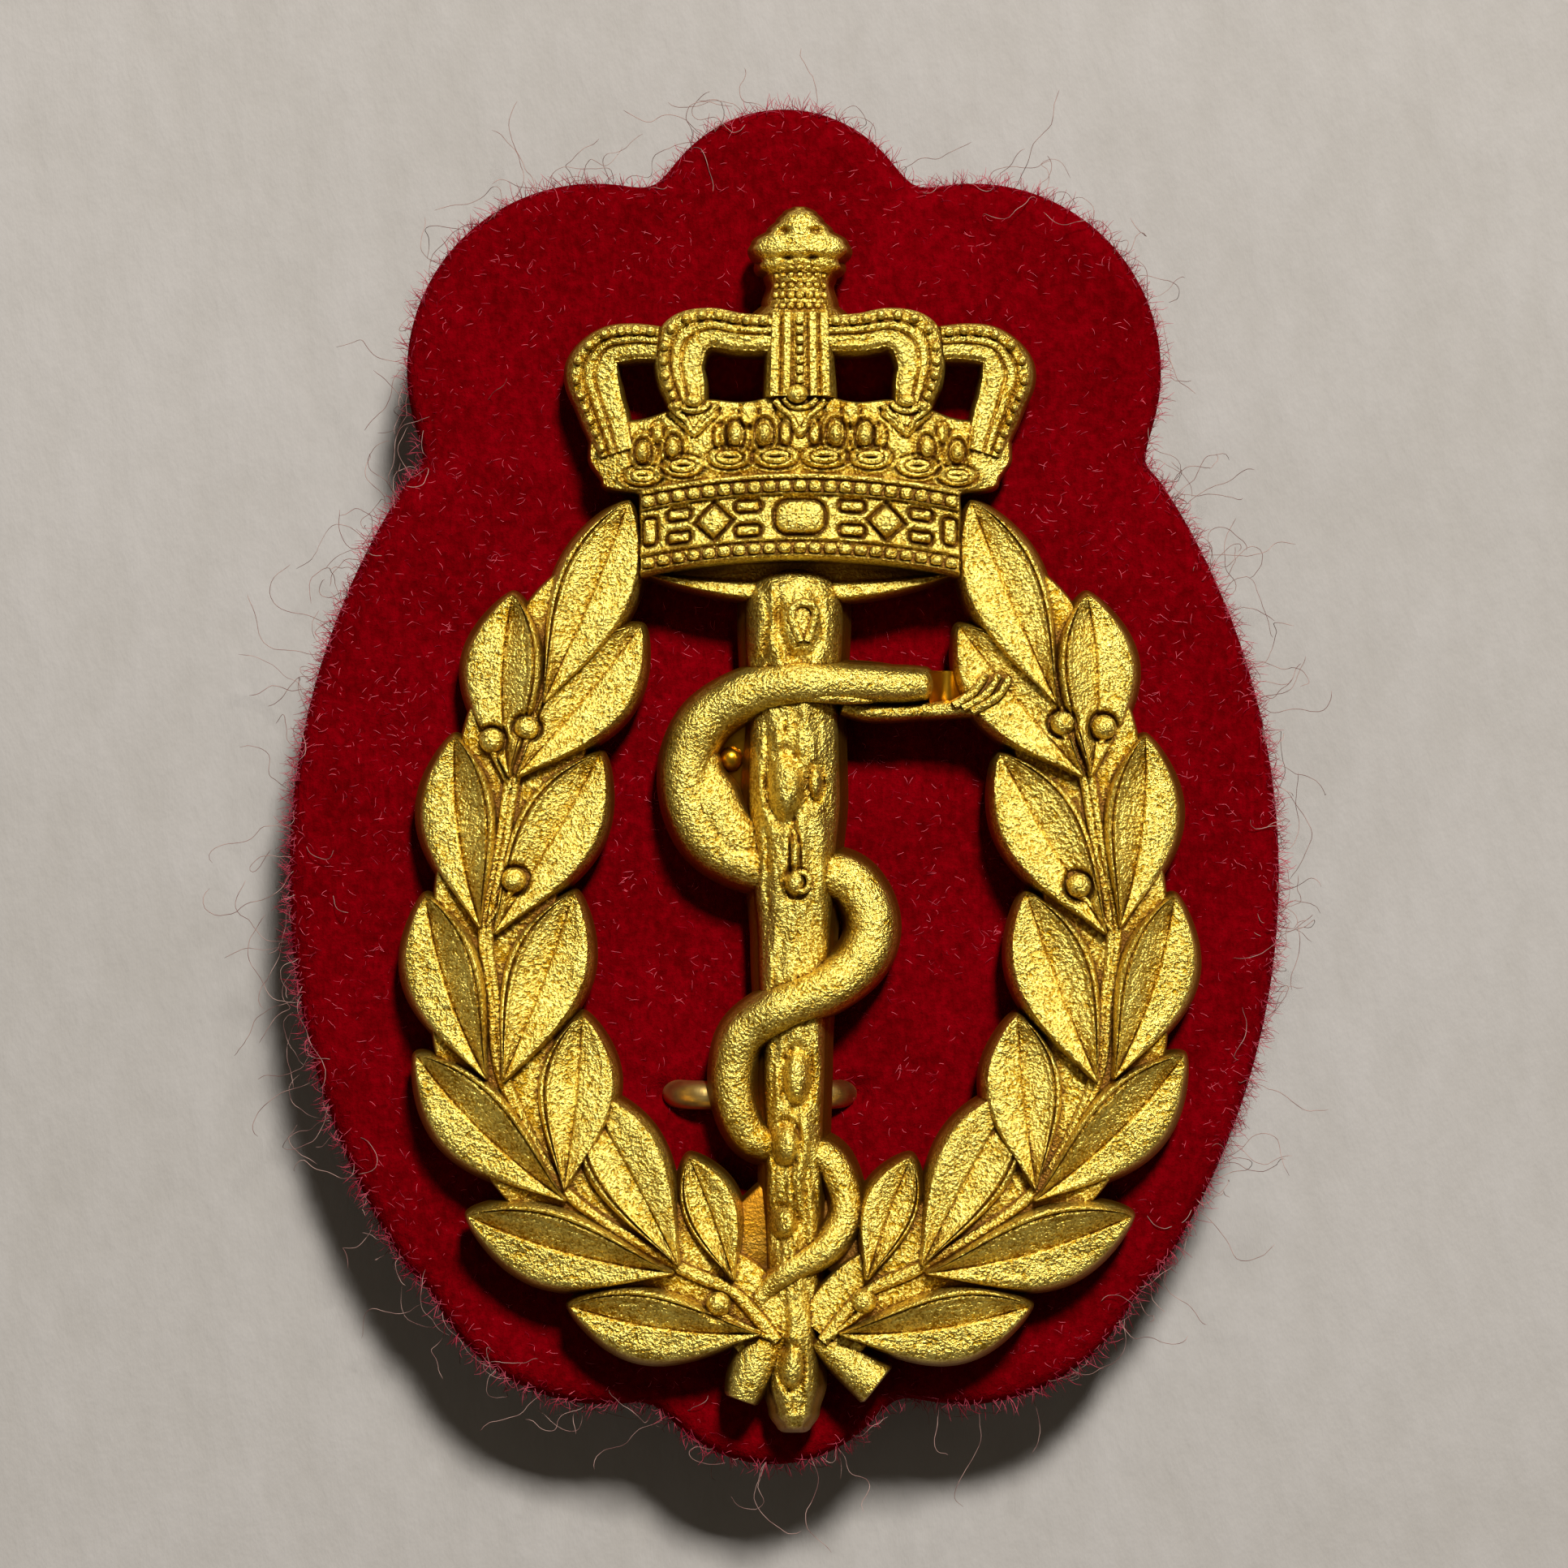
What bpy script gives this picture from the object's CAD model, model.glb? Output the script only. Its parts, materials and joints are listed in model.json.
import json
import random
from math import atan2, copysign, cos, exp, hypot, pi, radians, sin, sqrt

import bmesh
import bpy
from mathutils import Matrix, Vector, noise
from mathutils.bvhtree import BVHTree

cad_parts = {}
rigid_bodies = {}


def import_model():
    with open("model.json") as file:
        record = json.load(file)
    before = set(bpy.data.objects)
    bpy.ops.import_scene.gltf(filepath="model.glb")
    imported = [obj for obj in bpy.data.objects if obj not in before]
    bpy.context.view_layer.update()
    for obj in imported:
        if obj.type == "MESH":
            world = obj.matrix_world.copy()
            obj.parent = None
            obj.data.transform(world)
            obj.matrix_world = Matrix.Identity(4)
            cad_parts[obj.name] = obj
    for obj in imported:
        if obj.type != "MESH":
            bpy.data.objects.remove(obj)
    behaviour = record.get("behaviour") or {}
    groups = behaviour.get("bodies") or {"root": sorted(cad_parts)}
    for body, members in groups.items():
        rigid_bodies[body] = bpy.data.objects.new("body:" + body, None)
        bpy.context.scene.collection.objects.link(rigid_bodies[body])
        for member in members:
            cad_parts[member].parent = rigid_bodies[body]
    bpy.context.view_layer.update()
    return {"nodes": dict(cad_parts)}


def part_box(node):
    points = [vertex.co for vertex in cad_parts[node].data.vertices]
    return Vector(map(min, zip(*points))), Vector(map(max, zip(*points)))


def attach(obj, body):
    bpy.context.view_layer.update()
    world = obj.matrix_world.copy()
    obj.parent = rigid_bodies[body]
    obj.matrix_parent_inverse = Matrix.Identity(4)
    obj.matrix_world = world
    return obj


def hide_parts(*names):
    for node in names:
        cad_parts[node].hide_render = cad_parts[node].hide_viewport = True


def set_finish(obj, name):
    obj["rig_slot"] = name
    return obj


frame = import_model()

MM = 0.001
BODY = "badge"
# Size of the grains that the grit blast leaves in the gilding, in mm.
GRAIN_MM = 0.1
# The two measures that tarnish() stores on the metal for its materials.
HIDDEN, PROUD = "hidden", "proud"

# The emblem's middle is found from the staff, which stands a little to its left and ends below it.
STAFF_LEFT_MM, STAFF_TIP_MM = 0.2, 21.0
staff_low, staff_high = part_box("staff")
emblem_x = (staff_low[0] + staff_high[0]) / 2 + STAFF_LEFT_MM * MM
emblem_y = staff_low[1] + STAFF_TIP_MM * MM
emblem_back = staff_low[2]
ON_FRAME = Matrix.Translation((emblem_x, emblem_y, emblem_back)) @ Matrix.Scale(MM, 4)
# Each half of the wreath and of the arches is modelled as the right one, and mirrored for the left.
SIDES = ("left", "right")
MIRRORED = Matrix.Diagonal((-1, 1, 1, 1))


# -------------------- materials

class Amount:
    """A number inside a material. Python's operators add its Math nodes."""

    def __init__(self, paint, socket):
        self.paint = paint
        self.socket = socket

    def math(self, operation, other):
        return self.paint.node("ShaderNodeMath", {"operation": operation}, {0: self, 1: other})

    def __add__(self, other):
        return self.math("ADD", other)

    def __mul__(self, other):
        return self.math("MULTIPLY", other)

    def __sub__(self, other):
        return self.math("SUBTRACT", other)

    def __rsub__(self, other):
        return self * -1 + other

    def between(self, low, high):
        """0 below low and 1 above high, with a smooth step from one to the other."""
        return self.paint.node("ShaderNodeMapRange", {"interpolation_type": "SMOOTHSTEP"},
                               {"Value": self, "From Min": low, "From Max": high})

    __radd__ = __add__
    __rmul__ = __mul__


class Paint:
    """A material under construction."""

    def __init__(self, name):
        self.material = bpy.data.materials.new(name)
        self.material.use_nodes = True
        self.tree = self.material.node_tree
        self.tree.nodes.clear()
        self.place = self.node("ShaderNodeTexCoord", output="Object")

    def node(self, kind, settings=None, inputs=None, output=0):
        """Adds a node, sets it up, feeds its sockets and returns one of its outputs."""
        made = self.tree.nodes.new(kind)
        for name, value in (settings or {}).items():
            setattr(made, name, value)
        for name, value in (inputs or {}).items():
            value = value.socket if isinstance(value, Amount) else value
            if isinstance(value, bpy.types.NodeSocket):
                self.tree.links.new(value, made.inputs[name])
            else:
                made.inputs[name].default_value = value
        if output is None:
            return None
        socket = made.outputs[output]
        return Amount(self, socket) if socket.type == "VALUE" else socket

    def noise(self, per_mm, detail=2, roughness=0.5, stretch=None):
        """Cloudy noise with per_mm waves to the millimetre, fewer along an axis stretched below 1."""
        place = self.place
        if stretch:
            place = self.node("ShaderNodeMapping", inputs={"Vector": place, "Scale": stretch})
        return self.node("ShaderNodeTexNoise", inputs={
            "Vector": place, "Scale": per_mm / MM, "Detail": detail, "Roughness": roughness})

    def attribute(self, name):
        return self.node("ShaderNodeAttribute", {"attribute_name": name}, output="Fac")

    def mix(self, share, first, second):
        """A colour between two, where each is a colour or a colour socket."""
        first, second = ((*c, 1) if isinstance(c, tuple) else c for c in (first, second))
        sockets = {0: share, 6: first, 7: second}
        return self.node("ShaderNodeMix", {"data_type": "RGBA"}, sockets, output=2)

    def bump(self, height, depth_mm):
        return self.node("ShaderNodeBump", inputs={"Distance": depth_mm * MM, "Height": height})

    def shade(self, **sockets):
        """Ends the material in one Principled shader, given as base_color=... and so on."""
        names = {name.replace("_", " ").title().replace("Ior", "IOR"): value
                 for name, value in sockets.items()}
        shader = self.node("ShaderNodeBsdfPrincipled", inputs=names)
        self.node("ShaderNodeOutputMaterial", inputs={"Surface": shader}, output=None)
        return self.material


def matt_gilt():
    """Gilding over a grit-blasted strike: sparkling grain, rubbed high points, brown in the hollows."""
    dull, bright = (0.40, 0.21, 0.005), (0.99, 0.78, 0.17)
    ground, soot = (0.24, 0.10, 0.006), (0.16, 0.065, 0.004)
    paint = Paint("matt_gilt")
    grain = paint.noise(1 / GRAIN_MM, detail=3, roughness=0.65)
    pits = paint.noise(0.5 / GRAIN_MM, detail=2)
    blotches = paint.noise(0.9, detail=4, roughness=0.65)
    hidden = paint.attribute(HIDDEN)
    proud = paint.attribute(PROUD)
    struck = proud.between(0.25, 0.7)
    speckle = (grain - 0.5) * 2.2 + (pits - 0.5) * 1.1
    clean = speckle * (struck * 0.7 + 0.1) + (blotches - 0.5) * 0.9 + proud * 0.3 + 0.3 - hidden * 0.55
    colour = paint.mix(clean.between(0.1, 0.85), dull, bright)
    colour = paint.mix(struck, ground, colour)
    dirt = hidden * 1.5 - speckle * 0.25 * struck + (blotches - 0.5) * 0.3
    colour = paint.mix(dirt.between(0.3, 0.85), colour, soot)
    roughness = 0.45 - clean.between(0.2, 0.8) * 0.1 + (blotches - 0.5) * 0.1
    height = (grain * 0.8 + pits * 0.8) * (struck * 0.85 + 0.15)
    return paint.shade(base_color=colour, metallic=1.0 - dirt.between(0.5, 1.0) * 0.25,
                       roughness=roughness, normal=paint.bump(height, 0.085))


def polished_gilt():
    """Bright smooth gilding with a faint ripple."""
    stained, bright = (0.22, 0.07, 0.003), (0.80, 0.42, 0.02)
    paint = Paint("polished_gilt")
    ripple = paint.noise(1.2, detail=2)
    hidden = paint.attribute(HIDDEN)
    clean = (ripple - 0.5) * 0.5 + 0.95 - hidden * 1.3
    colour = paint.mix(clean.between(0.0, 1.0), stained, bright)
    return paint.shade(base_color=colour, metallic=1.0, roughness=0.25 + ripple * 0.1,
                       normal=paint.bump(ripple, 0.03))


def brass_wire():
    """Drawn brass: fine lengthwise scratches and a dull brown film."""
    tarnished, bright = (0.42, 0.24, 0.06), (0.78, 0.55, 0.18)
    paint = Paint("brass_wire")
    scratches = paint.noise(9.0, detail=3, stretch=(1, 0.08, 1))
    film = paint.noise(0.8, detail=3)
    colour = paint.mix(film.between(0.35, 0.7), tarnished, bright)
    return paint.shade(base_color=colour, metallic=1.0, roughness=0.3 + film * 0.2,
                       normal=paint.bump(scratches, 0.006))


def wool_felt():
    """Pressed crimson wool: matted fibres, lighter where the nap stands up."""
    deep, crimson, glow = (0.076, 0.0, 0.0006), (0.175, 0.0, 0.0025), (1.0, 0.02, 0.05, 1)
    paint = Paint("wool_felt")
    mat = paint.noise(3.0, detail=5, roughness=0.7)
    clumps = paint.noise(0.5, detail=3)
    lines = paint.noise(6.0, detail=4, roughness=0.7, stretch=(1, 0.35, 1))
    tone = mat * 0.5 + lines * 0.3 + clumps * 0.2
    colour = paint.mix(tone.between(0.35, 0.68), deep, crimson)
    return paint.shade(base_color=colour, roughness=0.95, specular_ior_level=0.0,
                       sheen_weight=0.05, sheen_roughness=0.5, sheen_tint=glow,
                       normal=paint.bump(mat * 0.7 + lines * 0.6, 0.12))


def wool_fibre(name, dark, pale):
    """Single dyed wool hairs, from dark to pale along and between them."""
    paint = Paint(name)
    tone = paint.noise(1.4, detail=2)
    colour = paint.mix(tone.between(0.35, 0.65), dark, pale)
    return paint.shade(base_color=colour, roughness=0.6 + tone * 0.2, specular_ior_level=0.0)


def pale_paper():
    """Slightly rough paper with long faint marks from its making."""
    grey, pale = (0.325, 0.298, 0.265), (0.368, 0.340, 0.310)
    paint = Paint("pale_paper")
    laid = paint.noise(0.55, detail=5, roughness=0.65, stretch=(1, 0.45, 1))
    cloudy = paint.noise(0.03, detail=3)
    tone = laid * 0.5 + cloudy * 0.5
    colour = paint.mix(tone.between(0.3, 0.7), grey, pale)
    return paint.shade(base_color=colour, roughness=0.9, specular_ior_level=0.2,
                       normal=paint.bump(laid, 0.12))


# -------------------- mesh helpers

def spline(points, share):
    """A point at share 0 to 1 of a smooth curve through the given points."""
    spans = len(points) - 1
    i = min(int(share * spans), spans - 1)
    t = share * spans - i
    a, b, c, d = (Vector(points[min(max(k, 0), spans)]) for k in (i - 1, i, i + 1, i + 2))
    return 0.5 * (2 * b + (c - a) * t + (2 * a - 5 * b + 4 * c - d) * t * t
                  + (3 * b - a - 3 * c + d) * t ** 3)


def ease(knots, x, soft=1.0):
    """The height at x through knots, pairs of place and height in rising order: smooth at soft 1,
    straight from knot to knot at soft 0."""
    if x <= knots[0][0]:
        return knots[0][1]
    for (x0, y0), (x1, y1) in zip(knots, knots[1:]):
        if x <= x1:
            t = (x - x0) / (x1 - x0)
            return y0 + (y1 - y0) * (t + soft * (t * t * (3 - 2 * t) - t))
    return knots[-1][1]


def hump(t):
    """1 at t 0, falling smoothly to nothing by about 2 on either side."""
    return exp(-t * t)


def along_run(value):
    """A measure along a ridge() as a function of share: from a number, a pair that it changes
    between, the knots of an ease(), or a function already."""
    if isinstance(value, list):
        return lambda v: ease(value, v)
    if isinstance(value, tuple):
        return lambda v: value[0] + (value[1] - value[0]) * v
    return value if callable(value) else lambda v: value


def arc_points(x, y, rx, ry, start, stop, steps):
    """Points on an arc of an oval about (x, y), from start to stop degrees."""
    turns = [radians(start + (stop - start) * k / steps) for k in range(steps + 1)]
    return [(x + rx * cos(a), y + ry * sin(a)) for a in turns]


def in_order(edges):
    """The edges without repeats, in the order they came, so that every run builds alike."""
    return list(dict.fromkeys(edges))


def rim_loop(edges):
    """The vertices along a closed rim, in order, counter-clockwise seen from the front."""
    left = set(edges[1:])
    start, at = edges[0].verts
    loop = [start]
    while at is not start:
        loop.append(at)
        edge = next(e for e in at.link_edges if e in left)
        left.discard(edge)
        at = edge.other_vert(at)
    area = sum(a.co.x * b.co.y - b.co.x * a.co.y for a, b in zip(loop, loop[1:] + loop[:1]))
    return loop if area > 0 else loop[::-1]


def extrude_rim(bm, rim, out, height):
    """One more ring of side wall: out is how far it steps outwards, height(z) its new height."""
    made = bmesh.ops.extrude_edge_only(bm, edges=rim)["geom"]
    edges = [g for g in made if isinstance(g, bmesh.types.BMEdge) and g.is_boundary]
    loop = rim_loop(edges)
    steps = []
    for before, v, after in zip(loop[-1:] + loop[:-1], loop, loop[1:] + loop[:1]):
        run = (after.co - before.co).to_2d()
        steps.append(Vector((run.y, -run.x, 0)).normalized() * out)
    for v, step in zip(loop, steps):
        v.co += step
        v.co.z = height(v.co.z)
    return edges


# How the side of a struck patch rounds over: the share of its flare that its shoulder takes, and
# the share of its height that its shoulder and its foot take.
SHOULDER_OUT, SHOULDER_DROP = 0.3, 0.15


def relief(bm, across, along, place, flare=0.2):
    """A patch of struck surface, place(u, v) with u and v from 0 to 1, closed by its sloping
    sides and by its flat back at height 0."""
    patch = bmesh.ops.create_grid(bm, x_segments=across, y_segments=along, size=0.5)["verts"]
    for v in patch:
        v.co = Vector(place(v.co.x + 0.5, v.co.y + 0.5))
    rim = in_order(e for v in patch for e in v.link_edges if e.is_boundary)
    rim = extrude_rim(bm, rim, flare * SHOULDER_OUT, lambda z: z - SHOULDER_DROP * z)
    rim = extrude_rim(bm, rim, flare * (1 - SHOULDER_OUT), lambda z: SHOULDER_DROP * z)
    rim = extrude_rim(bm, rim, 0.0, lambda z: 0.0)
    bmesh.ops.contextual_create(bm, geom=rim)


def ridge(bm, points, radius, height, flat=1.0, across=14, along=60, flare=0.15):
    """A half-round rib along a smooth path. radius and height change along it as along_run()
    allows, and flat is how high the rib stands for its radius."""
    radius, height = along_run(radius), along_run(height)

    def place(u, v):
        here = spline(points, v)
        ahead = spline(points, min(v + 0.004, 1)) - spline(points, max(v - 0.004, 0))
        side = Vector((ahead.y, -ahead.x)).normalized()
        angle = pi * (u - 0.5)
        r = radius(v)
        over = here.to_2d() + side * r * sin(angle)
        return (over.x, over.y, height(v) + flat * r * cos(angle))
    relief(bm, across, along, place, flare)


def oval(bm, at, size, segments):
    """A ball squashed to size, its half measures."""
    shape = Matrix.Translation(at) @ Matrix.Diagonal((*size, 1))
    bmesh.ops.create_uvsphere(bm, u_segments=segments, v_segments=segments // 2 + 1, radius=1,
                              matrix=shape)


def cushion(bm, at, half):
    """A stone with a cushion outline and a domed top."""
    squareness = 0.62
    for v in bmesh.ops.create_uvsphere(bm, u_segments=48, v_segments=21, radius=1)["verts"]:
        square = [copysign(abs(c) ** squareness, c) for c in v.co]
        v.co = [middle + c * size for middle, c, size in zip(at, square, half)]


def block(bm, at, size, edge, turn=0.0):
    """A block with rounded edges, turned about the badge's own normal."""
    shape = Matrix.Translation(at) @ Matrix.Rotation(turn, 4, "Z") @ Matrix.Diagonal((*size, 1))
    made = bmesh.ops.create_cube(bm, size=1, matrix=shape)["verts"]
    edges = in_order(e for v in made for e in v.link_edges)
    bmesh.ops.bevel(bm, geom=edges, offset=edge, offset_type="OFFSET", segments=3, profile=0.5,
                    affect="EDGES", material=-1)


def add_piece(name, mesh, material, slot, nodes=()):
    """Adds a finished mesh to the badge as a piece that stands for the named nodes."""
    mesh.materials.clear()
    mesh.materials.append(material)
    piece = bpy.data.objects.new(name, mesh)
    bpy.context.collection.objects.link(piece)
    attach(piece, BODY)
    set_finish(piece, slot)
    if nodes:
        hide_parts(*nodes)
    return piece


# An edge that turns by more than this is shown as a crease.
CREASE = radians(50)


def new_piece(name, bm, material, nodes, mirrored=False, slot="matt_gilt"):
    """Sets a finished piece of the emblem on the frame and adds it."""
    bmesh.ops.recalc_face_normals(bm, faces=bm.faces)
    if mirrored:
        mirror(bm)
    bm.transform(ON_FRAME)
    for face in bm.faces:
        face.smooth = True
    for edge in bm.edges:
        edge.smooth = edge.calc_face_angle(0) < CREASE
    mesh = bpy.data.meshes.new(name)
    bm.to_mesh(mesh)
    bm.free()
    return add_piece(name, mesh, material, slot, nodes)


def mirror(bm):
    """Turns a right half into a left one, with its faces still outwards."""
    bm.transform(MIRRORED)
    bmesh.ops.reverse_faces(bm, faces=bm.faces)


def store(mesh, name, values):
    """Keeps one number for each point of a mesh, for a material to read."""
    mesh.attributes.new(name, "FLOAT", "POINT").data.foreach_set("value", values)


# How far its neighbours shade a point of the metal, how far off its surface that is felt from, and
# how high it is when fully proud. A direction down into the badge counts as shaded by BURIED.
SHADE_REACH, SHADE_START, FULLY_PROUD = 1.1 * MM, 0.02 * MM, 1.6 * MM
BURIED = 0.35
# The directions that are felt for shade: their tilt from the surface's normal, and how many.
SHADE_RINGS = [(0.45, 4), (0.95, 6), (1.3, 5)]


def tarnish(pieces):
    """Stores, for each point of the metal, how hidden it is from the open and how far it stands
    proud of the emblem's back."""
    points, faces = [], []
    for piece in pieces:
        first = len(points)
        points += [v.co.copy() for v in piece.data.vertices]
        faces += [[first + i for i in face.vertices] for face in piece.data.polygons]
    solid = BVHTree.FromPolygons(points, faces)
    rays = [Vector((sin(tilt) * cos(turn), sin(tilt) * sin(turn), cos(tilt)))
            for tilt, count in SHADE_RINGS
            for turn in (2 * pi * k / count + tilt for k in range(count))]
    for piece in pieces:
        hidden, proud = [], []
        for v in piece.data.vertices:
            facing = v.normal.to_track_quat("Z", "Y")
            start = v.co + v.normal * SHADE_START
            total = 0.0
            for ray in rays:
                way = facing @ ray
                if way.z > -0.2:
                    distance = solid.ray_cast(start, way, SHADE_REACH)[3]
                    if distance is not None:
                        total += 1 - distance / SHADE_REACH
                else:
                    total += BURIED
            hidden.append(total / len(rays))
            proud.append(min(1.0, max(0.0, (v.co.z - emblem_back) / FULLY_PROUD)))
        store(piece.data, HIDDEN, hidden)
        store(piece.data, PROUD, proud)


# -------------------- the wreath

# Height of the leaves' surface over the emblem's back.
LEAF_TOP = 1.3
# The leaves of the right half by group, from the crown down: base, tip, width, and 1 for a leaf
# whose outer edge is to the right of its run or -1 to the left.
SPRIGS = [
    [((8.8, 4.0), (5.9, 10.9), 2.75, -1), ((10.0, 1.5), (9.9, 7.7), 2.7, 1),
     ((9.7, 1.5), (5.5, 6.6), 2.9, -1)],
    [((11.0, -3.7), (11.9, 2.8), 2.6, 1), ((10.5, -3.9), (6.9, 2.2), 2.9, -1)],
    [((10.8, -8.9), (12.9, -2.7), 2.65, 1), ((10.2, -9.0), (7.8, -2.6), 2.85, -1)],
    [((8.1, -13.1), (13.2, -8.2), 2.7, 1), ((8.1, -12.7), (7.5, -6.8), 2.7, -1)],
    [((4.4, -15.6), (11.4, -13.7), 2.7, 1), ((4.2, -15.3), (7.5, -9.3), 2.7, -1)],
    [((1.4, -17.7), (7.9, -16.8), 2.5, 1), ((2.3, -15.8), (3.8, -11.7), 1.9, -1)],
]
# Height across a leaf: rolled stem edge with its fine line, a half falling to the midrib and a
# half rising from it.
LEAF_SECTION = [
    (-1, -0.3), (-0.95, 0.0), (-0.9, 0.1), (-0.85, 0.1), (-0.8, -0.05), (-0.74, 0.12),
    (-0.69, 0.11), (-0.62, 0.02), (-0.06, -0.19), (0.0, -0.22), (0.05, -0.07), (0.3, -0.02),
    (0.7, 0.07), (0.88, 0.04), (0.95, -0.1), (1, -0.34)]
# How steeply an outer (1) and an inner (-1) leaf falls towards the wreath's outside, how far its
# middle bulges away from the stem, how far its base stands up and its tip drops, and how much odd
# and even groups stand up.
FALL_OUTWARDS = {1: 0.28, -1: 0.06}
BULGE = {1: 0.3, -1: 0.06}
BASE_RISE, TIP_DROP = 0.34, 0.2
ODD_LIFT, EVEN_LIFT = 0.16, 0.08
# The faint veins, which end at a share of the half width, and the slow unevenness of the strike.
VEIN_HIGH, VEINS_PER_MM, VEIN_SLANT, VEINS_END = 0.012, 0.8, 1.2, 0.6
UNEVEN_HIGH, UNEVEN_PER_MM = 0.12, 0.6
# The berries of each half, as places on the right one, in pits cut SOCKET_DEEP into the leaves.
BERRIES = {"left": [(10.6, 2.7), (9.4, 3.15), (9.85, -2.1), (2.8, -16.7)],
           "right": [(9.05, 3.3), (10.45, 3.15), (9.6, -2.3), (2.2, -16.6)]}
BERRY_R, SOCKET_R, SOCKET_DEEP = 0.44, 0.56, 0.4


def socket_depth(x, y, side):
    """How deep the pits round the berries are cut at a place on the wreath."""
    gap = min(hypot(x - bx, y - by) for bx, by in BERRIES[side])
    return SOCKET_DEEP * (1 - ease([(SOCKET_R - 0.15, 0), (SOCKET_R + 0.1, 1)], gap))


def leaf(bm, base, tip, width, outer, lift, half_name):
    """One leaf of the wreath's right or left half, from its base to its tip."""
    base, tip = Vector(base), Vector(tip)
    run = (tip - base).normalized()
    side = Vector((run.y, -run.x)) * outer
    length = (tip - base).length

    def place(u, v):
        t = 2 * u - 1
        half = width / 2 * sin(pi * min(v, 0.9999) ** 1.3) ** 0.8 + 0.02
        here = base + run * length * v + side * (t * half + BULGE[outer] * 4 * v * (1 - v))
        relief_share = min(1, 3.2 * sin(pi * min(max(v, 0.02), 0.98)))
        vein = VEIN_HIGH * sin(2 * pi * (v * length * VEINS_PER_MM - VEIN_SLANT * abs(t)))
        vein *= (abs(t) < VEINS_END) * min(1, 3 * abs(t))
        where = Vector((here.x * UNEVEN_PER_MM, here.y * UNEVEN_PER_MM, lift * 9))
        z = LEAF_TOP + lift + BASE_RISE * (1 - v) ** 2 - TIP_DROP * v ** 2
        z += UNEVEN_HIGH * noise.noise(where)
        z += relief_share * (ease(LEAF_SECTION, t, 0.4) + vein)
        z -= FALL_OUTWARDS[outer] * outer * t * half
        return (here.x, here.y, z - socket_depth(here.x, here.y, half_name))

    relief(bm, 52, 80, place)


def sprig(side, number, gilt):
    """One group of leaves."""
    bm = bmesh.new()
    lift = ODD_LIFT if number % 2 else EVEN_LIFT
    for base, tip, width, outer in SPRIGS[number - 1]:
        leaf(bm, base, tip, width, outer, lift, side)
    new_piece(f"{side}_leaves_{number}", bm, gilt, [f"{side}_sprig_{number}"],
              mirrored=side == "left")


# The stem, two thin ribs side by side, from its lower end up.
STEM_HALF_GAP = 0.14
STEM_RUN = [
    (0.9, -17.9), (2.3, -16.3), (4.4, -15.3), (8.1, -12.8), (10.1, -9.2), (10.55, -6.2),
    (10.8, -3.8), (10.25, -0.8), (9.85, 1.6), (9.3, 3.4), (8.8, 5.2)]
# The low ground under the leaves with its half width, and the ground at the foot of the staff.
PLATE_RUN = [
    (2.6, -16.5), (4.6, -15.2), (8.0, -12.5), (10.3, -8.8), (10.6, -3.8), (9.7, 1.8), (8.6, 5.4),
    (7.2, 8.6)]
PLATE_HALF = [(0, 1.2), (0.25, 2.0), (0.75, 2.1), (0.9, 1.5), (1, 0.8)]
FOOT_RUN = [(0.6, -13.5), (1.5, -14.4), (2.6, -15.3), (3.8, -15.8)]
# The cut lower ends. The right one widens to its cut, and the left one swells in its middle.
RIGHT_CUT = [(0.7, -17.9), (1.6, -18.7), (2.6, -19.5)]
LEFT_CUT = [(0.9, -17.6), (1.5, -18.6), (2.0, -20.0)]


def branch(side, gilt):
    """The stem that runs between the leaves, the ground under them and the cut lower end."""
    bm = bmesh.new()
    for shift in (-STEM_HALF_GAP, STEM_HALF_GAP):
        run = [(x + shift * 0.8, y + shift * 0.6) for x, y in STEM_RUN]
        ridge(bm, run, (0.2, 0.13), (LEAF_TOP - 0.06, LEAF_TOP), flat=0.9, across=10, along=180,
              flare=0.05)
    ridge(bm, PLATE_RUN, PLATE_HALF, 0.98, flat=0.08, across=24, along=160, flare=0.12)
    ridge(bm, STEM_RUN, (1.25, 1.0), 1.0, flat=0.15, across=24, along=160, flare=0.1)
    ridge(bm, FOOT_RUN, (1.15, 1.35), (0.3, 0.7), flat=0.12, across=24, flare=0.12)
    if side == "right":
        ridge(bm, RIGHT_CUT, (0.42, 0.72), 0.9, flat=0.7, across=16, along=20)
    else:
        ridge(bm, LEFT_CUT, lambda v: 0.45 + 0.25 * sin(3 * v), 0.8, flat=0.8, across=16, along=20)
    new_piece(f"{side}_stem", bm, gilt, [f"{side}_branch"], mirrored=side == "left")


def berries(side, gilt):
    """The berries, each on a bent stalk that leaves the stem a little below it."""
    stalk_fall = 1.6
    bm = bmesh.new()
    stem = [spline(STEM_RUN, k / 200) for k in range(201)]
    for x, y in BERRIES[side]:
        oval(bm, (x, y, LEAF_TOP), (BERRY_R, BERRY_R, BERRY_R), segments=28)
        root = min(stem, key=lambda p: abs(p.y - y + stalk_fall))
        bend = ((x + root.x) / 2 + 0.12 * copysign(1, x - root.x), y - 0.75)
        ridge(bm, [(x, y - 0.3), bend, (root.x, root.y)], (0.12, 0.09), LEAF_TOP + 0.06,
              across=8, along=24, flare=0.03)
    new_piece(f"{side}_berry_set", bm, gilt, [f"{side}_berries"], mirrored=side == "left")


# -------------------- staff and serpent

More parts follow.
